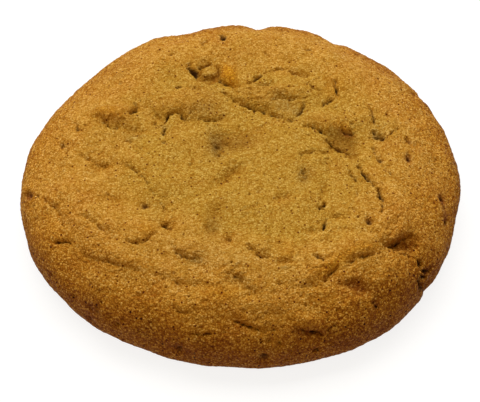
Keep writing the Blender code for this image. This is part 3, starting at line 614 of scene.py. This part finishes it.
def relief(x, y, points):
    """Height of the skin above the plain form, and the marks that its colours follow."""
    walk = np.hypot(x, y)
    height = -MIDDLE_SINK * 0.5 * (1 + np.tanh((MIDDLE_RADIUS - walk) / MIDDLE_SLOPE))
    height += RING_RISE * np.exp(-(((walk - RING_RADIUS) / RING_WIDTH) ** 2))
    for wavelength, rise, shift in UNEVENNESS:
        height += rise * noise_field(points, wavelength, shift)
    crumbs, gaps = crumble(points)
    height += crumbs * np.interp(walk, CRUMBS_AT, CRUMBS_STAND) + wrinkles(x, y)
    x, y = strayed(x, y, points)
    patchy = np.ones(len(x))
    for wavelength, share, shift in PATCHY:
        patchy += share * noise_field(points, wavelength, shift)
    patchy = patchy.clip(*PATCHY_LIMITS)
    folds = np.zeros(len(x))
    for lump in LUMPS:
        folds += swelling(lump, x, y)
    deep = pit_depths(x, y, [*PITS, *draw_crumbs(), *draw_pores()])
    for crease in CREASES:
        here = near(x, y, crease.path, CREASE_MARGIN * crease.reach)
        lifted, groove = crease_relief(crease, x[here], y[here])
        folds[here] += lifted * (1 - LIP_PATCHY + LIP_PATCHY * patchy[here])
        deep[here] += groove * patchy[here]
    marks = {"folds": folds, "deep": deep + gaps}
    for name, spots in (("orange", ORANGE_SPOTS), ("grey_and_shade", GREY_AND_SHADE_SPOTS), ("red", RED_SPOTS_AND_SHADE)):
        marks[name] = np.clip(sum(swelling(spot, x, y) for spot in spots), 0, 1)
    return height + folds - deep, marks


def cookie_skin(directions):
    """Where each direction from a ball's middle lands on the cookie, and what the skin is like there."""
    walk_table, radius_table, height_table = profile()
    edge_walk = walk_table[-1]
    down = np.arccos(directions[:, 2].clip(-1, 1))
    bearing = np.arctan2(directions[:, 1], directions[:, 0])
    outline = np.ones_like(bearing)
    for waves, share, phase in OUTLINE_WAVES:
        outline += share * np.cos(waves * bearing - math.radians(phase))

    walk = (down / EDGE_ANGLE).clip(0, 1) * edge_walk
    radius = np.interp(walk, walk_table, radius_table)
    height = np.interp(walk, walk_table, height_table)
    on_base = down > EDGE_ANGLE
    base_share = (math.pi - down) / (math.pi - EDGE_ANGLE)
    radius[on_base] = (BASE_RADIUS * base_share)[on_base]
    height[on_base] = 0.0

    ray = np.stack([np.cos(bearing), np.sin(bearing), np.zeros_like(bearing)], axis=1)
    points = ray * (radius * outline)[:, None]
    points[:, 2] = height
    lean_table = np.arctan2(-np.gradient(height_table, walk_table), np.gradient(radius_table, walk_table))
    lean = np.interp(walk, walk_table, lean_table)
    outward = ray * np.sin(lean)[:, None]
    outward[:, 2] = np.cos(lean)

    skin = ~on_base
    x, y = (walk * np.cos(bearing))[skin], (walk * np.sin(bearing))[skin]
    fade = ((edge_walk - walk[skin]) / FOOT_FADE).clip(0, 1)
    fade = fade * (2 - fade)
    rise, skin_marks = relief(x, y, points[skin])
    points[skin] += outward[skin] * (rise * fade)[:, None]
    points[:, 2] = points[:, 2].clip(0, None)
    marks = {"walk": walk + np.where(on_base, (1 - base_share) * BASE_RADIUS, 0)}
    for name, values in skin_marks.items():
        marks[name] = np.zeros(len(walk))
        marks[name][skin] = values * fade
    return points, marks


def make_crust():
    """A fine ball whose skin is slid onto the cookie's form, thinned where it is smooth."""
    bm = bmesh.new()
    bmesh.ops.create_icosphere(bm, subdivisions=BALL_SUBDIVISIONS, radius=1.0)
    mesh = bpy.data.meshes.new("cookie_crust")
    bm.to_mesh(mesh)
    bm.free()
    flat = np.empty(len(mesh.vertices) * 3, np.float32)
    mesh.vertices.foreach_get("co", flat)
    directions = flat.reshape(-1, 3).astype(float)
    directions /= np.linalg.norm(directions, axis=1, keepdims=True)
    points, marks = cookie_skin(directions)
    mesh.vertices.foreach_set("co", (points * MM).astype(np.float32).ravel())
    for name, values in marks.items():
        attribute = mesh.attributes.new(name, "FLOAT", "POINT")
        attribute.data.foreach_set("value", values.astype(np.float32))
    mesh.update()
    whole = bpy.data.objects.new("cookie_crust_whole", mesh)
    bpy.context.scene.collection.objects.link(whole)
    thin = whole.modifiers.new("thin", "DECIMATE")
    thin.ratio = TRIANGLES_KEPT / len(mesh.polygons)
    bpy.context.view_layer.update()
    thinned = bpy.data.meshes.new_from_object(whole.evaluated_get(bpy.context.evaluated_depsgraph_get()))
    bpy.data.objects.remove(whole)
    thinned.name = "cookie_crust"
    thinned.shade_smooth()
    crust = bpy.data.objects.new("cookie_crust", thinned)
    bpy.context.scene.collection.objects.link(crust)
    return crust


class Shader:
    """Nodes of one material, wired by plain calls."""

    def __init__(self, name):
        self.material = bpy.data.materials.new(name)
        self.material.use_nodes = True
        self.tree = self.material.node_tree
        self.surface = self.tree.nodes["Principled BSDF"]

    def add(self, kind, inputs, output=0, **settings):
        node = self.tree.nodes.new("ShaderNode" + kind)
        for key, value in settings.items():
            setattr(node, key, value)
        for key, value in inputs.items():
            self.put(node.inputs[key], value)
        return node.outputs[output]

    def put(self, socket, value):
        if isinstance(value, bpy.types.NodeSocket):
            self.tree.links.new(value, socket)
        else:
            socket.default_value = value

    def math(self, operation, a, b=0.0, clamp=False):
        return self.add("Math", {0: a, 1: b}, operation=operation, use_clamp=clamp)

    def spread(self, value, low, high, new_low=0.0, new_high=1.0):
        """value from low to high becomes new_low to new_high, held there beyond."""
        return self.add("MapRange", {"Value": value, "From Min": low, "From Max": high,
                                     "To Min": new_low, "To Max": new_high})

    def mark(self, name):
        return self.add("Attribute", {}, output=2, attribute_name=name)

    def noise(self, place, size, detail=2.0, roughness=0.5, shift=0.0):
        """Smooth noise, about 0.3 to 0.7, with features of this size in millimetres."""
        return self.add("TexNoise", {"Vector": place, "Scale": 1 / (size * MM), "Detail": detail,
                                     "Roughness": roughness, "W": shift}, noise_dimensions="4D")

    def cells(self, place, size):
        """Cells of this size in millimetres: the way to the cell's middle, and a lot drawn for the cell."""
        shape = {"Vector": place, "Scale": 1 / (size * MM), "Randomness": 1.0}
        from_middle = self.add("TexVoronoi", shape)
        return from_middle, self.add("SeparateColor", {0: self.add("TexVoronoi", shape, output=1)})

    def blend(self, share, a, b):
        """Colour a where share is 0, b where it is 1."""
        return self.add("Mix", {0: share, 6: a, 7: b}, output=2, data_type="RGBA")

    def darker(self, colour, share):
        """Colour scaled the way baked dough darkens: green falls faster than red, and blue much faster."""
        shares = [self.math("POWER", share, power) for power in BROWNING]
        scale = self.add("CombineXYZ", dict(enumerate(shares)))
        return self.add("VectorMath", {0: colour, 1: scale}, operation="MULTIPLY")


def crust_material():
    s = Shader("baked_dough")
    place = s.add("TexCoord", {}, output=3)
    walk = s.mark("walk")
    deep = s.mark("deep")
    folds = s.mark("folds")

    broad = s.noise(place, *BROAD)
    patch = s.noise(place, *PATCHES)
    mottle = s.noise(place, *MOTTLE)
    clump = s.noise(place, *CLUMPS)
    fine = s.noise(place, *FINE)
    from_middle, lot = s.cells(place, GRAIN_SIZE)
    from_dot, dot_lot = s.cells(place, DOT_CELLS)
    dot = s.math("MULTIPLY", s.spread(from_dot, *DOT_EDGE), s.spread(dot_lot, *DOT_CHOICE))

    # browning from the golden middle over the tan ring to the brown side
    wandering = s.math("ADD", walk, s.spread(broad, *NOISE_SPAN, -BROAD_SWAY, BROAD_SWAY))
    wandering = s.math("ADD", wandering, s.spread(mottle, *NOISE_SPAN, -SMALL_SWAY, SMALL_SWAY))
    colour = s.blend(s.spread(wandering, *TO_RING), PLATEAU, RING)
    colour = s.blend(s.spread(wandering, *TO_SHOULDER), colour, SHOULDER)
    colour = s.blend(s.spread(wandering, *TO_SIDE), colour, SIDE)
    colour = s.darker(colour, s.spread(wandering, *TO_FOOT, 1.0, FOOT_SHARE))

    # toasted patches, and paler greener ones
    toasted = s.spread(patch, *TOASTED_PATCHES)
    toasted = s.math("MULTIPLY", toasted, s.spread(wandering, *TO_RING, TOASTED_IN_MIDDLE, 1.0))
    colour = s.blend(toasted, colour, TOASTED)
    colour = s.blend(s.spread(patch, *OLIVE_PATCHES), colour, OLIVE)
    colour = s.blend(s.spread(folds, *TOASTED_LIPS), colour, TOASTED)
    colour = s.blend(s.mark("orange"), colour, ORANGE)
    # painted shade of hollows and dents, with some greyer dough
    colour = s.blend(s.mark("grey_and_shade"), colour, GREY_AND_SHADE)
    # reddish spots, and painted shade low on the front of the side
    colour = s.blend(s.mark("red"), colour, RED_AND_SHADE)

    # sandy grain: each grain a little lighter or darker, painted shade in the gaps between them, dark dots
    grain = s.spread(mottle, *NOISE_SPAN, -MOTTLE_SWING, MOTTLE_SWING)
    for value, span, swing in ((clump, NOISE_SPAN, CLUMP_SWING), (fine, NOISE_SPAN, FINE_SWING),
                               (lot, (0.0, 1.0), LOT_SWING)):
        grain = s.math("ADD", grain, s.spread(value, *span, TO_DARK * swing, TO_LIGHT * swing))
    grain = s.math("SUBTRACT", grain, s.spread(from_middle, *GRAIN_GAP_SHADE))
    grain = s.math("SUBTRACT", grain, s.math("MULTIPLY", dot, DOT_DARK))
    grain = s.math("MULTIPLY", grain, s.spread(s.spread(wandering, *BAKED), 0.0, 1.0, 1.0, BAKED_GRAIN))
    grain = s.math("MULTIPLY", grain, s.spread(wandering, *SIDE_GRAIN))
    # painted shade in the hollows of the folds
    grain = s.math("SUBTRACT", grain, s.spread(folds, *HOLLOW_SHADE))
    colour = s.darker(colour, s.math("EXPONENT", grain))
    colour = s.blend(s.spread(lot, *SUGAR_GRAINS), colour, SUGAR)

    # cracks and pits: painted shade, darkest where they are deepest
    ragged = s.math("ADD", deep, s.spread(fine, *NOISE_SPAN, -RAGGED, RAGGED))
    colour = s.blend(s.spread(ragged, *CRACK_SHADE_DEPTHS), colour, CRACK_SHADE)

    height = s.math("ADD", s.math("MULTIPLY", fine, FINE_BUMP), clump)
    height = s.math("SUBTRACT", height, s.math("MULTIPLY", from_middle, GAP_BUMP))
    bump = s.add("Bump", {"Strength": 1.0, "Distance": BUMP_HEIGHT * MM, "Height": height})

    s.put(s.surface.inputs["Base Color"], colour)
    s.put(s.surface.inputs["Roughness"], s.spread(lot, 0.0, 1.0, *ROUGHNESS))
    s.surface.inputs["Specular IOR Level"].default_value = SPECULAR
    s.put(s.surface.inputs["Normal"], bump)
    return s.material


def make_floor():
    bpy.ops.mesh.primitive_plane_add(size=FLOOR_SIZE, location=(0, 0, 0))
    floor = bpy.context.object
    floor.name = "floor"
    material = bpy.data.materials.new("floor_paper")
    material.use_nodes = True
    surface = material.node_tree.nodes["Principled BSDF"]
    surface.inputs["Base Color"].default_value = FLOOR_COLOUR
    surface.inputs["Emission Color"].default_value = (1.0, 1.0, 1.0, 1.0)
    surface.inputs["Emission Strength"].default_value = FLOOR_LIGHT
    surface.inputs["Roughness"].default_value = FLOOR_ROUGHNESS
    surface.inputs["Specular IOR Level"].default_value = 0.0
    floor.data.materials.append(material)
    floor.visible_diffuse = False


def make_light(name, bearing, elevation, distance, size, watts, colour=(1, 1, 1)):
    lamp = bpy.data.lights.new(name, "AREA")
    lamp.shape = "RECTANGLE"
    lamp.size, lamp.size_y = size
    lamp.energy = watts
    lamp.color = colour
    turn, up = math.radians(bearing), math.radians(elevation)
    toward = Vector((math.cos(turn) * math.cos(up), math.sin(turn) * math.cos(up), math.sin(up)))
    light = bpy.data.objects.new(name, lamp)
    light.location = toward * distance
    light.rotation_euler = (-toward).to_track_quat("-Z", "Y").to_euler()
    bpy.context.scene.collection.objects.link(light)


def make_world():
    """Soft light all round: most from above and behind, a little and warmer from the front and below."""
    world = bpy.data.worlds.new("studio")
    world.use_nodes = True
    tree = world.node_tree
    way = tree.nodes.new("ShaderNodeTexCoord")
    parts = tree.nodes.new("ShaderNodeSeparateXYZ")
    tree.links.new(way.outputs["Generated"], parts.inputs[0])
    colour = None
    ways = (("Y", GLOW_TO_BACK, FRONT_GLOW, BACK_GLOW), ("Z", GLOW_FROM_BELOW, LOW_GLOW, None))
    for axis, (low, high), first, second in ways:
        share = tree.nodes.new("ShaderNodeMapRange")
        tree.links.new(parts.outputs[axis], share.inputs["Value"])
        share.inputs["From Min"].default_value = low
        share.inputs["From Max"].default_value = high
        mix = tree.nodes.new("ShaderNodeMix")
        mix.data_type = "RGBA"
        tree.links.new(share.outputs[0], mix.inputs[0])
        mix.inputs[6].default_value = first
        if second is None:
            tree.links.new(colour, mix.inputs[7])
        else:
            mix.inputs[7].default_value = second
        colour = mix.outputs[2]
    tree.links.new(colour, tree.nodes["Background"].inputs["Color"])
    bpy.context.scene.world = world


def make_camera():
    data = bpy.data.cameras.new("camera")
    data.lens = LENS
    data.sensor_width = SENSOR
    data.clip_start = CLIP
    camera = bpy.data.objects.new("camera", data)
    up = math.radians(VIEW_ELEVATION)
    back = Vector((0, -math.cos(up), math.sin(up)))
    camera.location = (Vector(LOOK_AT) + VIEW_DISTANCE * back) * MM
    aim = math.radians(VIEW_ELEVATION + AIM_DOWN)
    camera.rotation_euler = (math.pi / 2 - aim, 0.0, math.radians(AIM_LEFT))
    bpy.context.scene.collection.objects.link(camera)
    bpy.context.scene.camera = camera


crust = make_crust()
crust.data.materials.clear()
crust.data.materials.append(crust_material())
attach(crust, "root")
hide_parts("cookie")

make_floor()
make_world()
make_light("key", **KEY_LIGHT)
make_light("fill", **FILL_LIGHT)
make_camera()
bpy.context.scene.view_settings.view_transform = "Standard"
